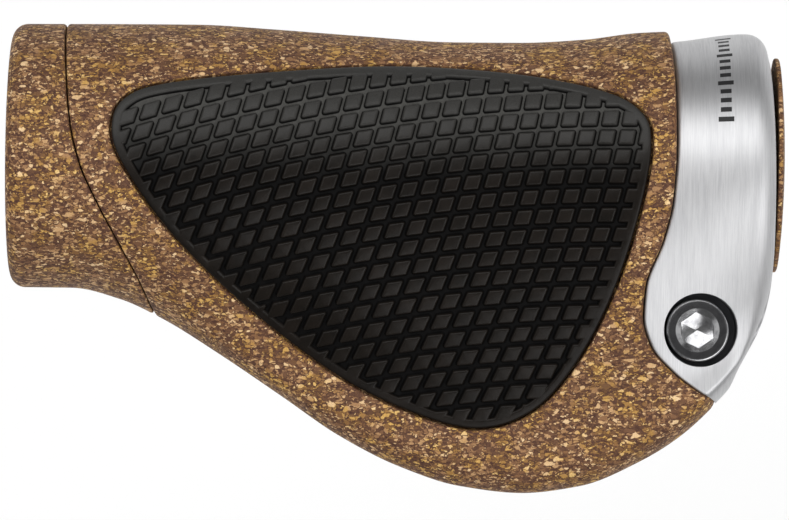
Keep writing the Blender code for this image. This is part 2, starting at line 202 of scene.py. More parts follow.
def new_object(name, points, faces, material=None):
    """A new object from points in millimetres, its faces turned outwards."""
    mesh = bpy.data.meshes.new(name)
    mesh.from_pydata((np.asarray(points) * MM).tolist(), [], faces)
    work = bmesh.new()
    work.from_mesh(mesh)
    bmesh.ops.recalc_face_normals(work, faces=work.faces)
    work.to_mesh(mesh)
    work.free()
    made = bpy.data.objects.new(name, mesh)
    bpy.context.scene.collection.objects.link(made)
    if material:
        mesh.materials.append(material)
    return made


def ring_faces(first, second, count):
    """Quads between two rings of count points that start at the indices first and second."""
    return [(first + k, first + (k + 1) % count, second + (k + 1) % count, second + k) for k in range(count)]


def ring_solid(name, rings, material=None, capped=False):
    """Rings joined in turn: a ring-shaped solid, or one with a flat face over its first and last ring."""
    count = len(rings[0])
    last = len(rings) - 1
    faces = []
    for k in range(last):
        faces += ring_faces(k * count, (k + 1) * count, count)
    if capped:
        faces += [tuple(range(count)), tuple(range(last * count, (last + 1) * count))]
    else:
        faces += ring_faces(last * count, 0, count)
    return new_object(name, np.concatenate(rings), faces, material)


def filleted(profile, steps=5):
    """A profile of (along, radius, fillet) corners with each corner turned into an arc."""
    points = [np.array(p[:2], float) for p in profile]
    result = []
    for k, corner in enumerate(points):
        fillet = profile[k][2] if len(profile[k]) > 2 else 0
        if not fillet:
            result.append(tuple(corner))
            continue
        to_last, to_next = points[k - 1] - corner, points[(k + 1) % len(points)] - corner
        to_last, to_next = to_last / np.linalg.norm(to_last), to_next / np.linalg.norm(to_next)
        half = math.acos(np.clip(to_last @ to_next, -1, 1)) / 2
        start = corner + to_last * fillet / math.tan(half)
        middle = to_last + to_next
        centre = corner + middle / np.linalg.norm(middle) * fillet / math.sin(half)
        arm, turn = start - centre, math.pi - 2 * half
        if arm[0] * to_last[1] - arm[1] * to_last[0] > 0:
            turn = -turn
        for step in range(steps + 1):
            a = turn * step / steps
            result.append((centre[0] + arm[0] * math.cos(a) - arm[1] * math.sin(a),
                           centre[1] + arm[0] * math.sin(a) + arm[1] * math.cos(a)))
    return result


def turned(name, profile, material=None, upright=False, around=96, ripple=None):
    """A turned solid from (along, radius) points: closed on itself, or capped where it ends near the axis.

    It turns about X, or upright about the bolt's axis. ripple(along, radius, angle) adds to the radius.
    """
    angle = full_turn(around)
    rings = []
    for along, radius in profile:
        r = radius + (ripple(along, radius, angle) if ripple else 0 * angle)
        u, v, w = r * np.cos(angle), r * np.sin(angle), np.full(around, float(along))
        rings.append(np.stack([BOLT_X + u, BOLT_Y + v, w] if upright else [w, u, v], axis=1))
    return ring_solid(name, rings, material, capped=profile[0][1] < 0.2)


def cut(target, *cutters):
    """Take the cutters away from the target, and remove them."""
    for cutter in cutters:
        modifier = target.modifiers.new("cut", "BOOLEAN")
        modifier.operation = "DIFFERENCE"
        modifier.solver = "EXACT"
        modifier.object = cutter
    evaluated = target.evaluated_get(bpy.context.evaluated_depsgraph_get())
    mesh = bpy.data.meshes.new_from_object(evaluated)
    target.modifiers.clear()
    target.data = mesh
    for cutter in cutters:
        bpy.data.objects.remove(cutter)


def box(name, low, high):
    """A cutter between two corners."""
    (x0, y0, z0), (x1, y1, z1) = low, high
    rings = [np.array([(x0, y0, z), (x1, y0, z), (x1, y1, z), (x0, y1, z)], float) for z in (z0, z1)]
    return ring_solid(name, rings, capped=True)


def finish_piece(piece, body, slot, *nodes, sharp=35):
    """Smooth shading with sharp edges, and the piece's place in the frame."""
    piece.data.shade_smooth()
    piece.data.set_sharp_from_angle(angle=math.radians(sharp))
    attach(piece, body)
    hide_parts(*nodes)


# ---------------------------------------------------------------- materials

def srgb(red, green, blue):
    """A shader colour from 0 to 255 display values."""
    values = [c / 255 for c in (red, green, blue)]
    return [*(((v + 0.055) / 1.055) ** 2.4 if v > 0.04045 else v / 12.92 for v in values), 1.0]


class Shader:
    """A material with a Principled shader, and short ways to add nodes to it."""

    def __init__(self, name, **uniform):
        self.material = bpy.data.materials.new(name)
        self.material.use_nodes = True
        self.tree = self.material.node_tree
        self.surface = self.tree.nodes["Principled BSDF"]
        for socket, value in uniform.items():
            self.surface.inputs[socket.replace("_", " ")].default_value = value

    def add(self, kind, sockets=None, **settings):
        """A new node; each socket gets a value, or a link from another node's output."""
        node = self.tree.nodes.new(kind)
        for name, value in settings.items():
            setattr(node, name, value)
        for name, value in (sockets or {}).items():
            if isinstance(value, bpy.types.NodeSocket):
                self.tree.links.new(value, node.inputs[name])
            else:
                node.inputs[name].default_value = value
        return node

    def math(self, operation, *values):
        return self.add("ShaderNodeMath", dict(enumerate(values)), operation=operation).outputs[0]

    def vector(self, operation, first, second, output=0):
        sockets = {0: first, 1: second}
        return self.add("ShaderNodeVectorMath", sockets, operation=operation).outputs[output]

    def place(self, scale=(1, 1, 1)):
        """Object coordinates in millimetres, stretched by scale."""
        coordinates = self.add("ShaderNodeTexCoord").outputs["Object"]
        scales = [s / MM for s in scale]
        return self.add("ShaderNodeMapping", {"Vector": coordinates, "Scale": scales}).outputs["Vector"]

    def noise(self, vector, scale, detail=3, roughness=0.5, output="Fac"):
        sockets = {"Vector": vector, "Scale": scale, "Detail": detail, "Roughness": roughness}
        return self.add("ShaderNodeTexNoise", sockets).outputs[output]

    def ramp(self, value, stops):
        """A colour ramp through (place, colour) stops."""
        node = self.add("ShaderNodeValToRGB", {"Fac": value})
        elements = node.color_ramp.elements
        while len(elements) < len(stops):
            elements.new(0.5)
        for element, (at, colour) in zip(elements, stops):
            element.position = at
            element.color = colour
        return node.outputs["Color"]

    def band(self, value, low, high):
        """0 below low and 1 above high, smooth between."""
        sockets = {"Value": value, "From Min": low, "From Max": high}
        node = self.add("ShaderNodeMapRange", sockets, interpolation_type="SMOOTHSTEP")
        return node.outputs["Result"]

    def mix(self, share, first, second, blend="MIX"):
        """The first colour at share 0 and the second at 1."""
        sockets = {0: share, 6: first, 7: second}
        return self.add("ShaderNodeMix", sockets, data_type="RGBA", blend_type=blend).outputs[2]

    def set(self, **links):
        """Link node outputs to the Principled shader's sockets."""
        for socket, value in links.items():
            self.tree.links.new(value, self.surface.inputs[socket.replace("_", " ")])

    def bump(self, height, distance):
        """Relief of a height map; distance is its depth in millimetres."""
        sockets = {"Height": height, "Distance": distance * MM, "Strength": 1.0}
        return self.add("ShaderNodeBump", sockets).outputs["Normal"]


def cork_material():
    """Cork granules in dark brown rubber: flakes of three sizes, most of them slivers along the grip."""
    shader = Shader("cork", Specular_IOR_Level=0.3)
    place = shader.place()
    wander = shader.noise(place, 2.2, detail=3, output="Color")
    shifted = shader.vector("SUBTRACT", wander, (0.5, 0.5, 0.5))
    scaled = shader.vector("MULTIPLY", shifted, (0.5, 0.5, 0.5))
    warped = shader.vector("ADD", shader.place((0.72, 1.15, 1.15)), scaled)
    colour = shader.ramp(shader.noise(warped, 2.6, detail=4, roughness=0.7), [
        (0.28, srgb(58, 32, 22)), (0.45, srgb(86, 56, 43)), (0.6, srgb(108, 75, 54)),
        (0.75, srgb(136, 98, 60))])
    golden = shader.band(shader.noise(place, 0.4, detail=3), 0.44, 0.62)
    relief = None
    # the flakes: size, share of the cells left empty, and a shift that keeps the sizes apart
    for size, share, shift in ((0.27, 0.4, 3.1), (0.45, 0.5, 7.7), (0.72, 0.86, 1.3)):
        vector = shader.vector("ADD", warped, (shift, -shift, 2 * shift))
        sockets = {"Vector": vector, "Scale": 1 / size}
        cells = shader.add("ShaderNodeTexVoronoi", sockets)
        edges = shader.add("ShaderNodeTexVoronoi", sockets, feature="DISTANCE_TO_EDGE")
        chance = shader.add("ShaderNodeSeparateColor", {"Color": cells.outputs["Color"]})
        inside = shader.band(edges.outputs["Distance"], 0.03, 0.14)
        flake = shader.math("MULTIPLY", shader.math("GREATER_THAN", chance.outputs[0], share), inside)
        pale = shader.ramp(chance.outputs[1], [
            (0.0, srgb(94, 62, 45)), (0.4, srgb(140, 100, 67)), (0.65, srgb(176, 134, 92)),
            (0.85, srgb(214, 172, 122)), (1.0, srgb(246, 212, 164))])
        warm = shader.ramp(chance.outputs[1], [
            (0.0, srgb(98, 65, 40)), (0.4, srgb(148, 107, 58)), (0.65, srgb(184, 139, 71)),
            (0.85, srgb(215, 170, 92)), (1.0, srgb(242, 202, 127))])
        colour = shader.mix(flake, colour, shader.mix(golden, pale, warm))
        relief = flake if relief is None else shader.math("MAXIMUM", relief, flake)
    grain = shader.noise(place, 7.0, detail=3, roughness=0.6)
    shade = shader.ramp(grain, [(0.3, srgb(196, 190, 186)), (0.7, srgb(255, 255, 255))])
    height = shader.math("ADD", shader.math("MULTIPLY", relief, 0.6), shader.math("MULTIPLY", grain, 0.5))
    shader.set(Base_Color=shader.mix(0.8, colour, shade, blend="MULTIPLY"),
               Roughness=shader.math("SUBTRACT", 0.78, shader.math("MULTIPLY", relief, 0.16)),
               Normal=shader.bump(height, 0.05))
    return shader.material


def rubber_material():
    """Black rubber: rubbed smooth where it stands high and matt in the grooves. Its colour holds painted
    light:
    painted shade darkens the grooves, and a painted sheen lightens the front rows and their floors.

    The pad's stud_height attribute is 0 at the grooves' floor and 1 on the studs' tops.
    """
    shader = Shader("pad_rubber", Specular_IOR_Level=0.12)
    place = shader.place()
    bloom = shader.noise(place, 0.35, detail=4, roughness=0.6)
    grain = shader.noise(place, 9.0, detail=3, roughness=0.65)
    stud_height = shader.add("ShaderNodeAttribute", attribute_name="stud_height").outputs["Fac"]
    # share of the studs' tops: it rubs the roughness smooth, and lifts the colour out of the grooves' painted
    # shade
    stud_top_share = shader.band(stud_height, 0.25, 0.85)
    forward = shader.add("ShaderNodeSeparateXYZ", {"Vector": place}).outputs["Y"]
    # painted sheen: the rubber turns lighter towards the front, where the rows would catch the front light
    painted_front_sheen = shader.band(shader.math("ADD", forward, shader.math("MULTIPLY", bloom, 4)), -1.0, 10.0)
    top = shader.ramp(bloom, [(0.3, srgb(20, 17, 14)), (0.7, srgb(31, 26, 22))])
    # painted light on the groove floors of the front rows
    painted_groove_floor_light = shader.math("MULTIPLY", painted_front_sheen, shader.band(stud_height, 0.12, 0.0))
    # the grooves' near-black colour is painted shade
    groove_shade_and_light = shader.mix(painted_groove_floor_light, srgb(4, 3, 3), srgb(84, 83, 80))
    colour = shader.mix(stud_top_share, groove_shade_and_light, shader.mix(painted_front_sheen, top, srgb(60, 59, 57)))
    specks = shader.ramp(grain, [(0.35, srgb(205, 205, 205)), (0.65, srgb(255, 255, 255))])
    smooth = shader.math("ADD", 0.24, shader.math("MULTIPLY", grain, 0.16))
    dull = shader.math("MULTIPLY", shader.math("SUBTRACT", 1.0, stud_top_share), 0.42)
    shader.set(Base_Color=shader.mix(1.0, colour, specks, blend="MULTIPLY"),
               Roughness=shader.math("ADD", smooth, dull),
               Normal=shader.bump(grain, 0.014))
    return shader.material


def nylon_material():
    """Glass-filled black nylon, satin, with a fine mottle from the mould."""
    shader = Shader("nylon", Specular_IOR_Level=0.4)
    place = shader.place()
    mottle = shader.noise(place, 2.5, detail=4, roughness=0.6)
    colour = shader.ramp(mottle, [(0.3, srgb(34, 34, 36)), (0.7, srgb(50, 50, 53))])
    shader.set(Base_Color=colour, Roughness=shader.math("ADD", 0.42, shader.math("MULTIPLY", mottle, 0.2)),
               Normal=shader.bump(mottle, 0.015))
    return shader.material


def distance_from(shader, place, x, y):
    """Distance in plan from an upright axis."""
    flat = shader.vector("MULTIPLY", place, (1, 1, 0))
    return shader.vector("DISTANCE", flat, (x, y, 0), output="Value")


def printed_bars(shader):
    """1 on the bars of a plain index round the clamp, of which every fourth is longer, and 0 off them."""
    axes = shader.add("ShaderNodeSeparateXYZ", {"Vector": shader.place()}).outputs
    turn = shader.math("ARCTAN2", axes["Y"], axes["Z"])
    past = shader.math("SUBTRACT", turn, math.radians(FIRST_BAR))
    count = shader.math("DIVIDE", past, math.radians(BAR_PITCH))
    across = shader.math("ABSOLUTE", shader.math("SUBTRACT", shader.math("FRACT", count), 0.5))
    fourth = shader.math("FRACT", shader.math("DIVIDE", shader.math("FLOOR", count), 4))
    extra = shader.math("MULTIPLY", shader.math("LESS_THAN", fourth, 0.1), LONG_BAR_EXTRA)
    along = shader.math("ABSOLUTE", shader.math("SUBTRACT", axes["X"], BAR_X))
    inside = [shader.math("LESS_THAN", across, 0.25),
              shader.math("LESS_THAN", along, shader.math("ADD", extra, BAR_HALF_LENGTH)),
              shader.math("GREATER_THAN", count, 0), shader.math("LESS_THAN", count, BARS)]
    printed = inside[0]
    for test in inside[1:]:
        printed = shader.math("MULTIPLY", printed, test)
    return printed


def brushed_aluminium_material():
    """Aluminium brushed round the ring, with printed bars, and painted shade darkening the counterbore."""
    shader = Shader("clamp_aluminium", Metallic=1.0, Anisotropic=0.5, Anisotropic_Rotation=0.25)
    streaks = shader.noise(shader.place((1, 0.02, 0.02)), 11.0, detail=5, roughness=0.75)
    patches = shader.noise(shader.place((1, 0.12, 0.12)), 0.9, detail=3)
    height = shader.math("ADD", streaks, shader.math("MULTIPLY", patches, 0.3))
    metal = shader.ramp(height, [
        (0.3, srgb(164, 164, 167)), (0.5, srgb(184, 184, 186)), (0.75, srgb(204, 204, 205))])
    rough = shader.math("ADD", 0.45, shader.math("MULTIPLY", streaks, 0.2))
    printed = printed_bars(shader)
    # painted shade: inside the counterbore the metal turns dark grey and duller, as the recess lies in shade;
    # the bars are print
    away = distance_from(shader, shader.place(), COUNTERBORE_X, BOLT_Y)
    dark = shader.math("MAXIMUM", printed, shader.math("LESS_THAN", away, COUNTERBORE_R + 0.03))
    dark_colour = shader.mix(printed, srgb(105, 105, 108), srgb(18, 18, 19))
    shader.set(Base_Color=shader.mix(dark, metal, dark_colour),
               Metallic=shader.math("SUBTRACT", 1.0, printed),
               Roughness=shader.math("MAXIMUM", rough, shader.math("MULTIPLY", dark, 0.6)),
               Normal=shader.bump(height, 0.012))
    tangent = shader.add("ShaderNodeTangent", direction_type="RADIAL", axis="X")
    shader.tree.links.new(tangent.outputs[0], shader.surface.inputs["Tangent"])
    return shader.material


def steel_material(name, light, rough, ring=None):
    """Steel with small stains and a fine grain; ring gives the radii of a painted reflection, a dark band on
    the screw's head.
    """
    shader = Shader(name, Metallic=1.0)
    place = shader.place()
    stain = shader.noise(place, 0.9, detail=5, roughness=0.6)
    fine = shader.noise(place, 8.0, detail=2)
    shade = [srgb(int(light * k), int(light * k), int(light * k * 1.01)) for k in (0.82, 1.0)]
    colour = shader.ramp(stain, [(0.35, shade[0]), (0.6, shade[1])])
    if ring:
        # painted reflection: the flat band of the head's top is coloured dark, as though it mirrored dark
        # surroundings
        radius = distance_from(shader, place, BOLT_X, BOLT_Y)
        dark = shader.math("MULTIPLY", shader.band(radius, ring[0], ring[0] + 0.08),
                           shader.band(radius, ring[1], ring[1] - 0.15))
        colour = shader.mix(shader.math("MULTIPLY", dark, 0.75), colour, srgb(76, 76, 78))
    shader.set(Base_Color=colour,
               Roughness=shader.math("ADD", rough, shader.math("MULTIPLY", fine, 0.12)),
               Normal=shader.bump(fine, 0.004))
    return shader.material


# ---------------------------------------------------------------- cork pieces

def edge_stops(radius, steps=5):
    """(along, inset) stops of a rounded edge, from the wall up to the skin."""
    turns = [math.pi / 2 * k / steps for k in range(steps + 1)]
    return [(radius * (1 - math.cos(a)), radius * (1 - math.sin(a))) for a in turns]


def wall_rings(outer, line, shift, inner_r=BORE_R, steps=10):
    """Rings from an outer ring in to the bore, on the upright wall that a parting line makes."""
    angle, rings = full_turn(len(outer)), []
    for share in np.linspace(0, 1, steps + 1)[1:]:
        y = outer[:, 1] * (1 - share) + inner_r * np.cos(angle) * share
        z = outer[:, 2] * (1 - share) + inner_r * np.sin(angle) * share
        rings.append(np.stack([line(y) + shift, y, z], axis=1))
    return rings


def skin_rings(start, end, first_edge, last_edge, count):
    """Rings of the skin between two parting edges, both rounded; the edges are (along, inset) stops."""
    angle = full_turn()
    rings = [inset_ring(start + along, angle, inset) for along, inset in first_edge]
    low, high = start + first_edge[-1][0], end - last_edge[-1][0]
    for share in np.linspace(0, 1, count + 1)[1:-1]:
        rings.append(inset_ring(low * (1 - share) + high * share, angle, 0))
    rings += [inset_ring(end - along, angle, inset) for along, inset in reversed(last_edge)]
    return rings


def pad_outline(grow, count=240):
    """The pad's outline in plan, moved out by grow: a closed Catmull-Rom curve through its points."""
    points = np.array(PAD_OUTLINE, float)
    total = len(points)
    place = np.arange(count) * total / count
    i, t = place.astype(int), (place % 1)[:, None]
    p0, p1, p2, p3 = (points[(i + j) % total] for j in (-1, 0, 1, 2))
    curve = 0.5 * (2 * p1 + (p2 - p0) * t + (2 * p0 - 5 * p1 + 4 * p2 - p3) * t**2
                   + (3 * p1 - p0 - 3 * p2 + p3) * t**3)
    along = np.roll(curve, -1, axis=0) - np.roll(curve, 1, axis=0)
    along /= np.linalg.norm(along, axis=1)[:, None]
    return curve + np.stack([-along[:, 1], along[:, 0]], axis=1) * grow


def flared_cutter(name, outline, stops, floor_lift, cap_lift):
    """A cutter over the skin that widens as it rises: (grow, lift) stops round an outline(grow)."""
    floor = outline(stops[0][0])
    middle = floor.mean(axis=0)
    rings = [over_skin(middle + (floor - middle) * share, floor_lift) for share in np.linspace(0.02, 1, 14)]
    rings += [over_skin(outline(grow), lift) for grow, lift in stops]
    top = outline(stops[-1][0])
    rings += [over_skin(middle + (top - middle) * share, cap_lift) for share in np.linspace(1, 0.02, 14)]
    return ring_solid(name, rings, capped=True)


def make_cork_grip(cork):
    """The cork body: rounded at both parting edges, with a lipped pocket and a cavity for the frame."""
    angle = full_turn()
    rings = skin_rings(crossing(collar_line, angle, SEAM / 2), crossing(clamp_line, angle, -SEAM / 2),
                       edge_stops(0.4), edge_stops(0.6), 120)
    inboard_wall = wall_rings(rings[0], collar_line, SEAM / 2)
    rings += wall_rings(rings[-1], clamp_line, -SEAM / 2)
    rings += reversed(inboard_wall)
    body = ring_solid("cork_grip", rings, cork)
    floor, lip = -PAD_THICKNESS - GAP, 0.4
    stops = [(GAP - 0.1, floor + 0.02), (GAP, floor + 0.15), (GAP, -lip)]
    for a in (25, 45, 62):
        turn = math.radians(a)
        stops.append((GAP + lip * (1 - math.cos(turn)), -lip * (1 - math.sin(turn))))
    stops.append((GAP + lip, 0.12))
    pocket = flared_cutter("pocket", pad_outline, stops, floor, 3)
    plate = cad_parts["palm_frame"]
    cavity = bpy.data.objects.new("cavity", plate.data.copy())
    bpy.context.scene.collection.objects.link(cavity)
    swell = cavity.modifiers.new("swell", "DISPLACE")
    swell.strength, swell.mid_level = 0.25 * MM, 0
    cut(body, pocket, cavity)
    finish_piece(body, "grip", "cork", "grip_body")


def make_cork_collar(cork):
    """The thumb collar, with its end rounded over."""
    angle = full_turn()
    start = np.zeros_like(angle)
    end = crossing(collar_line, angle, -SEAM / 2)
    rings = skin_rings(start, end, edge_stops(1.9, 9), edge_stops(0.4), 22)
    rings += wall_rings(rings[-1], collar_line, -SEAM / 2)
    chamfer = 0.3
    for x, r in ((chamfer, BORE_R), (0.0, BORE_R + chamfer)):
        rings.append(np.stack([np.full(AROUND, x), r * np.cos(angle), r * np.sin(angle)], axis=1))
    finish_piece(ring_solid("cork_collar", rings, cork), "grip", "cork", "thumb_collar")


# ---------------------------------------------------------------- palm pad

def lattice(u, v):
    """Plan place of the stud in column u and row v: the rows bow, and the columns lean, fan out and bow."""
    straight = FIRST_STUD[0] - COLUMN_PITCH * u
    x = straight
    for _ in range(12):
        y = FIRST_STUD[1] - ROW_PITCH * v - ROW_BOW * (x - BOW_X) ** 2
        back = 1 - y
        x = straight - (COLUMN_LEAN + COLUMN_FAN * u) * back - COLUMN_BOW * back**2
    return np.array([x, y])


def offset_polygon(corners, inset):
    """A convex counter-clockwise polygon with each side moved in by inset."""
    sides = []
    for a, b in zip(corners, np.roll(corners, -1, axis=0)):
        along = (b - a) / np.linalg.norm(b - a)
        normal = np.array([-along[1], along[0]])
        sides.append((a + normal * inset, along))
    moved = []
    for (p, d), (q, e) in zip([sides[-1], *sides[:-1]], sides):
        t = np.linalg.solve(np.array([d, -e]).T, q - p)[0]
        moved.append(p + d * t)
    return np.array(moved)


def rounded_polygon(core, radius, corner_steps=4, side_steps=3):
    """Points at radius outside a convex counter-clockwise polygon: arcs at its corners, straight sides."""
    result = []
    count = len(core)
    for k in range(count):
        before, after = core[k] - core[k - 1], core[(k + 1) % count] - core[k]
        a0 = math.atan2(before[1], before[0]) - math.pi / 2
        turn = (math.atan2(after[1], after[0]) - math.pi / 2 - a0) % (2 * math.pi)
        for step in range(corner_steps + 1):
            a = a0 + turn * step / corner_steps
            result.append(core[k] + radius * np.array([math.cos(a), math.sin(a)]))
        start = result[-1]
        for step in range(1, side_steps):
            result.append(start + after * step / side_steps)
    return np.array(result)


def polygon_distance(points, polygon):
    """Distance from points to a closed polygon's outline, positive outside it."""
    nearest = np.full(len(points), np.inf)
    inside = np.zeros(len(points), bool)
    for a, b in zip(polygon, np.roll(polygon, -1, axis=0)):
        ab, ap = b - a, points - a
        share = np.clip((ap @ ab) / (ab @ ab), 0, 1)
        nearest = np.minimum(nearest, np.linalg.norm(ap - share[:, None] * ab, axis=1))
        if ab[1] != 0:
            spans = (a[1] > points[:, 1]) != (b[1] > points[:, 1])
            inside ^= spans & (ap[:, 0] < ab[0] * ap[:, 1] / ab[1])
    return np.where(inside, -nearest, nearest)


def stud_cores(rim_edge):
    """The core polygon of each stud that shows inside the rim's inner edge."""
    cores = []
    corners = ((0.5, 0.5), (-0.5, 0.5), (-0.5, -0.5), (0.5, -0.5))
    for v in range(-4, 18):
        for u in range(-5, 27):
            cell = np.array([lattice(u + du, v + dv) for du, dv in corners])
            if polygon_distance(cell.mean(axis=0)[None], rim_edge)[0] < 1.3:
                cores.append(offset_polygon(cell, GROOVE / 2 + STUD_CORNER))
    return cores


def stud_contour(core, distance):
    """The line at a distance inside a stud's edge, which starts as the core grown by the corner radius."""
    least = 0.03
    if STUD_CORNER - distance >= least:
        return rounded_polygon(core, STUD_CORNER - distance)
    return rounded_polygon(offset_polygon(core, distance - STUD_CORNER + least), least)


def pad_plan(cores, rim_edge):
    """The pad's top in plan, cut along every contour: its points, its triangles and its outline's indices."""
    points, edges = [], []

    def contour(loop, keep=None):
        first = sum(len(p) for p in points)
        points.append(loop)
        for k in range(len(loop)):
            n = (k + 1) % len(loop)
            if keep is None or keep[k] or keep[n]:
                edges.append((first + k, first + n))

    for inset in (0, 0.03, 0.1, 0.2, OUTER_ROUND):
        contour(pad_outline(-inset)[::-1])
    outline_count = len(points[0])
    for distance, _ in RELIEF:
        contour(pad_outline(distance - RIM_WIDTH)[::-1])
    loops = [stud_contour(core, distance) for core in cores for distance, _ in RELIEF]
    everywhere = polygon_distance(np.concatenate(loops), rim_edge) < RELIEF[-1][0]
    place = 0
    for loop in loops:
        contour(loop, everywhere[place:place + len(loop)])
        place += len(loop)
    flat = np.concatenate(points)
    used = sorted({k for edge in edges for k in edge})
    order = {k: i for i, k in enumerate(used)}
    constraints = [(order[a], order[b]) for a, b in edges]
    result = delaunay_2d_cdt([Vector(flat[k]) for k in used], constraints, [], 0, 1e-5)
    plan, triangles, sources = np.array([tuple(p) for p in result[0]]), result[2], result[3]
    outline = []
    for k in range(outline_count):
        outline.append(next(i for i, source in enumerate(sources) if order[k] in source))
    return plan, triangles, outline


def pad_relief(plan, cores, rim_edge):
    """Height of each point: the rim's edge and the nearest stud make one relief."""
    distance = polygon_distance(plan, rim_edge)
    for core in cores:
        near = np.flatnonzero(np.abs(plan - core.mean(axis=0)).max(axis=1) < 2.4)
        away = STUD_CORNER - polygon_distance(plan[near], core)
        distance[near] = np.maximum(distance[near], away)
    return np.interp(distance, *np.array(RELIEF).T)


def make_palm_pad(rubber):
    """The rubber pad: rows of rounded rhombic studs that run into a plain rim, on one closed solid."""
    outer, rim_edge = pad_outline(0)[::-1], pad_outline(-RIM_WIDTH)[::-1]
    cores = stud_cores(rim_edge)
    plan, triangles, outline = pad_plan(cores, rim_edge)
    height = pad_relief(plan, cores, rim_edge)
    # 0 at the grooves' floor and 1 on the tops: it sets the rubber's roughness and its painted groove shade
    height_share = 1 + height / -RELIEF[0][1]
    inside = np.clip(-polygon_distance(plan, outer), 0, OUTER_ROUND)
    height -= OUTER_ROUND - np.sqrt(OUTER_ROUND**2 - (OUTER_ROUND - inside) ** 2)
    top = over_skin(plan, height)
    # below the rounded edge: the side wall and the underside
    middle = outer.mean(axis=0)
    below = [over_skin(outer, -PAD_THICKNESS + 0.2)]
    for share in (0.996, 0.8, 0.6, 0.4, 0.2, 0.02):
        below.append(over_skin(middle + (outer - middle) * share, -PAD_THICKNESS))
    faces = [tuple(t) for t in triangles]
    start, count = len(top), len(outer)
    for k in range(count):
        n = (k + 1) % count
        faces.append((outline[k], outline[n], start + n, start + k))
    for ring in range(len(below) - 1):
        faces += ring_faces(start + ring * count, start + (ring + 1) * count, count)
    faces.append(tuple(range(start + (len(below) - 1) * count, start + len(below) * count)))
    pad = new_object("studded_palm_pad", np.concatenate([top, *below]), faces, rubber)
    stud_height = pad.data.attributes.new("stud_height", "FLOAT", "POINT")
    stud_height.data.foreach_set("value", np.concatenate([height_share, np.ones(len(pad.data.vertices) - len(height_share))]))
    finish_piece(pad, "grip", "pad_rubber", "palm_pad", sharp=42)


# ---------------------------------------------------------------- clamp, bolt and plug

def clamp_ring(aluminium):
    """The clamp's outer form round the bore: a ring with an ear behind it, with soft outboard edges."""
    angle = full_turn()
    start, end = crossing(clamp_line, angle, SEAM / 2), crossing(outboard_line, angle, 0)
    width = end - start
    front = ease(np.cos(angle))
    first_r = (0.3 + 0.3 * front) * ease(width / 3)
    last_r = 2.4 * ease(width / 8) + 0.2 * front

    def ring(x, inset):
        # the metal lies a little under the cork's skin, most in front and inboard
        lower = (0.3 + 0.9 * ease((np.cos(angle) + 0.5) / 1.2)) * (1 - ease((x - 84) / 11))
        return inset_ring(x, angle, inset + lower + 0.22 * front)

    rings = [ring(start + along * first_r, inset * first_r) for along, inset in edge_stops(1, 4)]
    for share in np.linspace(0, 1, 41)[1:-1]:
        rings.append(ring((start + first_r) * (1 - share) + (end - last_r) * share, 0))
    rings += [ring(end - along * last_r, inset * last_r) for along, inset in reversed(edge_stops(1, 10))]
    inboard_wall = wall_rings(rings[0], clamp_line, SEAM / 2)
    chamfer = 0.35
    rings += wall_rings(rings[-1], outboard_line, 0, BORE_R + chamfer, 5)
    mouth_x = np.full(AROUND, CLAMP_END - chamfer)
    rings.append(np.stack([mouth_x, BORE_R * np.cos(angle), BORE_R * np.sin(angle)], axis=1))
    rings += reversed(inboard_wall)
    return ring_solid("brushed_clamp", rings, aluminium)


def counterbore():
    """A cutter for the bolt's counterbore, with a softened mouth."""
    count = 128
    turn = full_turn(count)

    def circle(grow):
        radius = COUNTERBORE_R + grow
        return np.stack([COUNTERBORE_X - radius * np.cos(turn), BOLT_Y + radius * np.sin(turn)], axis=1)

    wall = [np.column_stack([circle(0), np.full(count, SEAT_Z)])]
    for grow, lift in ((0, -0.5), (0, -0.22), (0.06, -0.08), (0.2, 0.04), (0.5, 0.3)):
        wall.append(over_skin(circle(grow), lift))
    wall.append(np.column_stack([circle(0.5), np.full(count, 25.0)]))
    return ring_solid("counterbore", wall, capped=True)


def make_clamp(aluminium):
    """The clamp, with its slit, the counterbore, the bolt's hole and the bush's hole."""
    clamp = clamp_ring(aluminium)
    hole_r, bottom = BOLT_R + GAP, -12
    hole = turned("hole", [(20, 0.1), (20, hole_r), (bottom, hole_r), (bottom, 0.1)], upright=True)
    bush_r, shelf = INSERT_R + GAP, INSERT_Z[1] + GAP
    bush_hole = turned("bush_hole", [(shelf, 0.1), (shelf, bush_r), (-5.2, bush_r), (-7, bush_r + 0.5),
                                     (bottom, bush_r + 0.5), (bottom, 0.1)], upright=True)
    slit = box("slit", (78, -36, SLIT_Z[0]), (102, -12, SLIT_Z[1]))
    cut(clamp, counterbore(), hole, bush_hole, slit)
    finish_piece(clamp, "clamp", "clamp_aluminium", "clamp_body", sharp=30)


def thread_ripple(low, high, depth):
    """A screw thread between two heights: a triangular wave that climbs a pitch in each turn."""

    def ripple(along, radius, angle):
        phase = (along / THREAD_PITCH - angle / (2 * math.pi)) % 1
        fade = float(ease((along - low) / 0.5) * ease((high - along) / 0.5))
        return depth * fade * (np.abs(2 * phase - 1) - 1)

    return ripple


def stretch(low, high, radius):
    """Profile points from high to low at one radius, close enough for a thread."""
    return [(along, radius) for along in np.arange(high, low, -THREAD_STEP)]


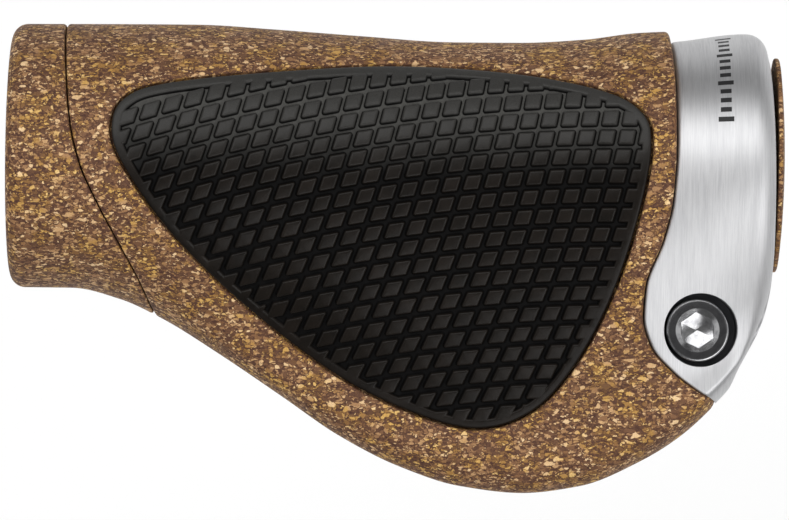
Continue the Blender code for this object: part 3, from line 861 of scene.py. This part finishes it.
def make_bolt(steel):
    """The low-head M5 cap screw: rounded head with a fine knurl, hexagon socket, threaded shank."""
    head_top, tip = HEAD_Z + HEAD_HEIGHT, HEAD_Z - 12
    head = filleted([(head_top, 0.1), (head_top, HEAD_R, 0.3), (HEAD_Z + 0.2, HEAD_R), (HEAD_Z, HEAD_R - 0.2),
                     (HEAD_Z, BOLT_R + 0.3), (HEAD_Z - 0.3, BOLT_R)], 8)
    shank = stretch(tip + 0.6, HEAD_Z - 0.4, BOLT_R)
    end = [(tip + 0.5, BOLT_R - 0.1), (tip, BOLT_R - 0.7), (tip, 0.1)]
    thread = thread_ripple(tip, HEAD_Z - 1.5, 0.42)

    def ripple(along, radius, angle):
        if along > HEAD_Z + 0.25 and radius > HEAD_R - 0.02:
            return -0.09 * np.abs(np.sin(30 * angle))
        return thread(along, radius, angle) if radius == BOLT_R else 0 * angle

    bolt = turned("clamp_screw", [*head, *shank, *end], steel, upright=True, around=240, ripple=ripple)
    cut(bolt, *socket_cutters(head_top))
    finish_piece(bolt, "bolt", "bolt_steel", "clamp_bolt", sharp=25)


def socket_cutters(head_top):
    """Cutters for the hexagon socket, with the drill's point at its floor, and for its chamfered mouth."""
    half_flats, depth, point = 2.02, 2.3, 0.7
    turn = full_turn(6) + math.radians(35)

    def hexagon(z, scale):
        corner_r = half_flats / math.cos(math.pi / 6) * scale
        return np.column_stack([BOLT_X + corner_r * np.cos(turn), BOLT_Y + corner_r * np.sin(turn),
                                np.full(6, z)])

    floor = head_top - depth
    socket = ring_solid("socket", [hexagon(head_top + 1, 1), hexagon(floor, 1), hexagon(floor - point, 0.06)],
                        capped=True)
    above, below = head_top + 0.3, head_top - 0.38
    mouth = turned("mouth", [(above, 0.1), (above, 3.3), (head_top, 2.8), (below, 2.15), (below, 0.1)],
                   upright=True)
    return socket, mouth


def make_small_steel(steel):
    """The washer under the bolt's head and the threaded bush in the lower jaw."""
    low, high = SEAT_Z + GAP, SEAT_Z + GAP + 1
    washer = filleted([(high, WASHER_R, 0.15), (low, WASHER_R, 0.15), (low, 2.65, 0.1), (high, 2.65, 0.1)])
    finish_piece(turned("screw_washer", washer, steel, upright=True), "washer", "steel", "bolt_washer")
    low, high = INSERT_Z
    bore_r = BOLT_R + 0.22
    outer = filleted([(high, bore_r + 0.2), (high, INSERT_R, 0.25), (low + 0.9, INSERT_R)])
    outer += filleted([(low + 0.8, INSERT_R), (low, INSERT_R, 0.15), (low, bore_r + 0.3)])
    bore = [(along, bore_r) for along in np.arange(low + 0.3, high - 0.2, THREAD_STEP)]
    thread = thread_ripple(low + 0.1, high, 0.3)

    def ripple(along, radius, angle):
        if radius == bore_r:
            return -thread(along, radius, angle)
        knurled = radius > INSERT_R - 0.01 and along > low + 0.9
        return -0.08 * np.abs(np.sin(24 * angle)) * knurled

    bush = turned("threaded_bush", [*outer, *bore], steel, upright=True, around=192, ripple=ripple)
    finish_piece(bush, "clamp", "steel", "thread_insert")


def make_sleeve(nylon):
    """The core sleeve, with a rounded end and four slots under the clamp."""
    profile = filleted([(SLEEVE_END, SLEEVE_R, 0.3), (0, SLEEVE_R, 0.3), (0, SLEEVE_BORE_R, 0.4),
                        (SLEEVE_END, SLEEVE_BORE_R, 0.2)])
    sleeve = turned("slotted_sleeve", profile, nylon, around=192)
    slots = []
    for turn in (math.pi / 4, -math.pi / 4):
        slot = box("slot", (84, -15, -1), (SLEEVE_END + 2, 15, 1))
        slot.rotation_euler.x = turn
        slots.append(slot)
    bpy.context.view_layer.update()
    cut(sleeve, *slots)
    finish_piece(sleeve, "grip", "nylon", "core_sleeve")


def make_plug(nylon, cork):
    """The end plug: a hollow ribbed stem, and a domed cork cap on its flange."""
    flange_x, inner_end, pitch = CLAMP_END - 1.3, CLAMP_END - 18, 3
    profile = [(CLAMP_END, 0.1), (CLAMP_END, 10.8, 0.3), (flange_x, 10.8, 0.3), (flange_x, 8.4, 0.2)]
    for k in range(5):
        crest = flange_x - pitch * (k + 0.7)
        profile += [(crest + 1.1, 8.4, 0.15), (crest + 0.6, 9.2, 0.12), (crest, 9.2, 0.12),
                    (crest - 0.6, 8.4, 0.15)]
    profile += [(inner_end, 7.8, 0.3), (inner_end, 6.6, 0.3), (CLAMP_END - 3, 6.6, 0.4), (CLAMP_END - 3, 0.1)]
    stem = turned("ribbed_plug_stem", filleted(profile, 4), nylon, around=144)
    finish_piece(stem, "plug", "nylon", "plug_stem")
    back = CLAMP_END + GAP
    dome = [(PLUG_END - 0.75 * (r / CAP_R) ** 2.4, r) for r in np.linspace(0.1, CAP_R - 0.2, 18)]
    edge = [(PLUG_END - 0.82, CAP_R - 0.03), (PLUG_END - 0.95, CAP_R), (back + 0.1, CAP_R),
            (back, CAP_R - 0.1), (back, 0.1)]
    cap = turned("cork_plug_cap", [*dome, *edge], cork, around=192)
    finish_piece(cap, "plug", "cork", "plug_cap")


# ---------------------------------------------------------------- stage

def make_stage():
    """A pale floor well below the grip, and soft studio light."""
    floor_z, half = -0.3, 2.5
    mesh = bpy.data.meshes.new("floor")
    corners = [(-half, -half, floor_z), (half, -half, floor_z), (half, half, floor_z), (-half, half, floor_z)]
    mesh.from_pydata(corners, [], [(0, 1, 2, 3)])
    floor = bpy.data.objects.new("floor", mesh)
    bpy.context.scene.collection.objects.link(floor)
    mesh.materials.append(Shader("floor", Roughness=0.9, Base_Color=(0.9, 0.9, 0.9, 1)).material)
    world = bpy.data.worlds.new("studio")
    bpy.context.scene.world = world
    world.use_nodes = True
    background = world.node_tree.nodes["Background"]
    background.inputs["Color"].default_value = (1, 1, 1, 1)
    background.inputs["Strength"].default_value = 0.16
    panel("front", 30, 112, (2.35, 1.3), 31.5)
    panel("back", 40, -54, (1.8, 1.2), 23.5)
    panel("right", 60, 10, (1.9, 1.9), 8.5)
    panel("left", 60, 185, (1.9, 1.9), 8.6)


def panel(name, tilt, bearing, size, power):
    """A soft light in metres and watts: tilt degrees from overhead, on a bearing round from +X."""
    distance, middle = 2.0, (0.05, -0.012, 0.0)
    tilt, bearing = math.radians(tilt), math.radians(bearing)
    away = (math.sin(tilt) * math.cos(bearing), math.sin(tilt) * math.sin(bearing), math.cos(tilt))
    light = bpy.data.lights.new(name, "AREA")
    light.shape = "RECTANGLE"
    light.size, light.size_y = size
    light.energy = power
    made = bpy.data.objects.new(name, light)
    bpy.context.scene.collection.objects.link(made)
    made.location = [m + distance * a for m, a in zip(middle, away)]
    made.rotation_euler = Vector(away).to_track_quat("Z", "Y").to_euler()


def make_camera():
    """Straight above the grip, as a long lens sees it."""
    camera = bpy.data.cameras.new("camera")
    camera.sensor_width = 36
    camera.lens = 280.8
    made = bpy.data.objects.new("camera", camera)
    bpy.context.scene.collection.objects.link(made)
    made.location = (0.04984, -0.01294, 0.8)
    made.rotation_euler = (0, 0, math.radians(0.75))
    bpy.context.scene.camera = made
    bpy.context.scene.view_settings.view_transform = "Standard"


def main():
    make_camera()
    make_stage()
    cork, nylon = cork_material(), nylon_material()
    make_cork_grip(cork)
    make_cork_collar(cork)
    make_palm_pad(rubber_material())
    make_clamp(brushed_aluminium_material())
    make_bolt(steel_material("bolt_steel", 168, 0.16, ring=(2.8, 3.75)))
    make_small_steel(steel_material("steel", 170, 0.3))
    make_sleeve(nylon)
    make_plug(nylon, cork)
    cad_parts["palm_frame"].material_slots[0].material = nylon


main()
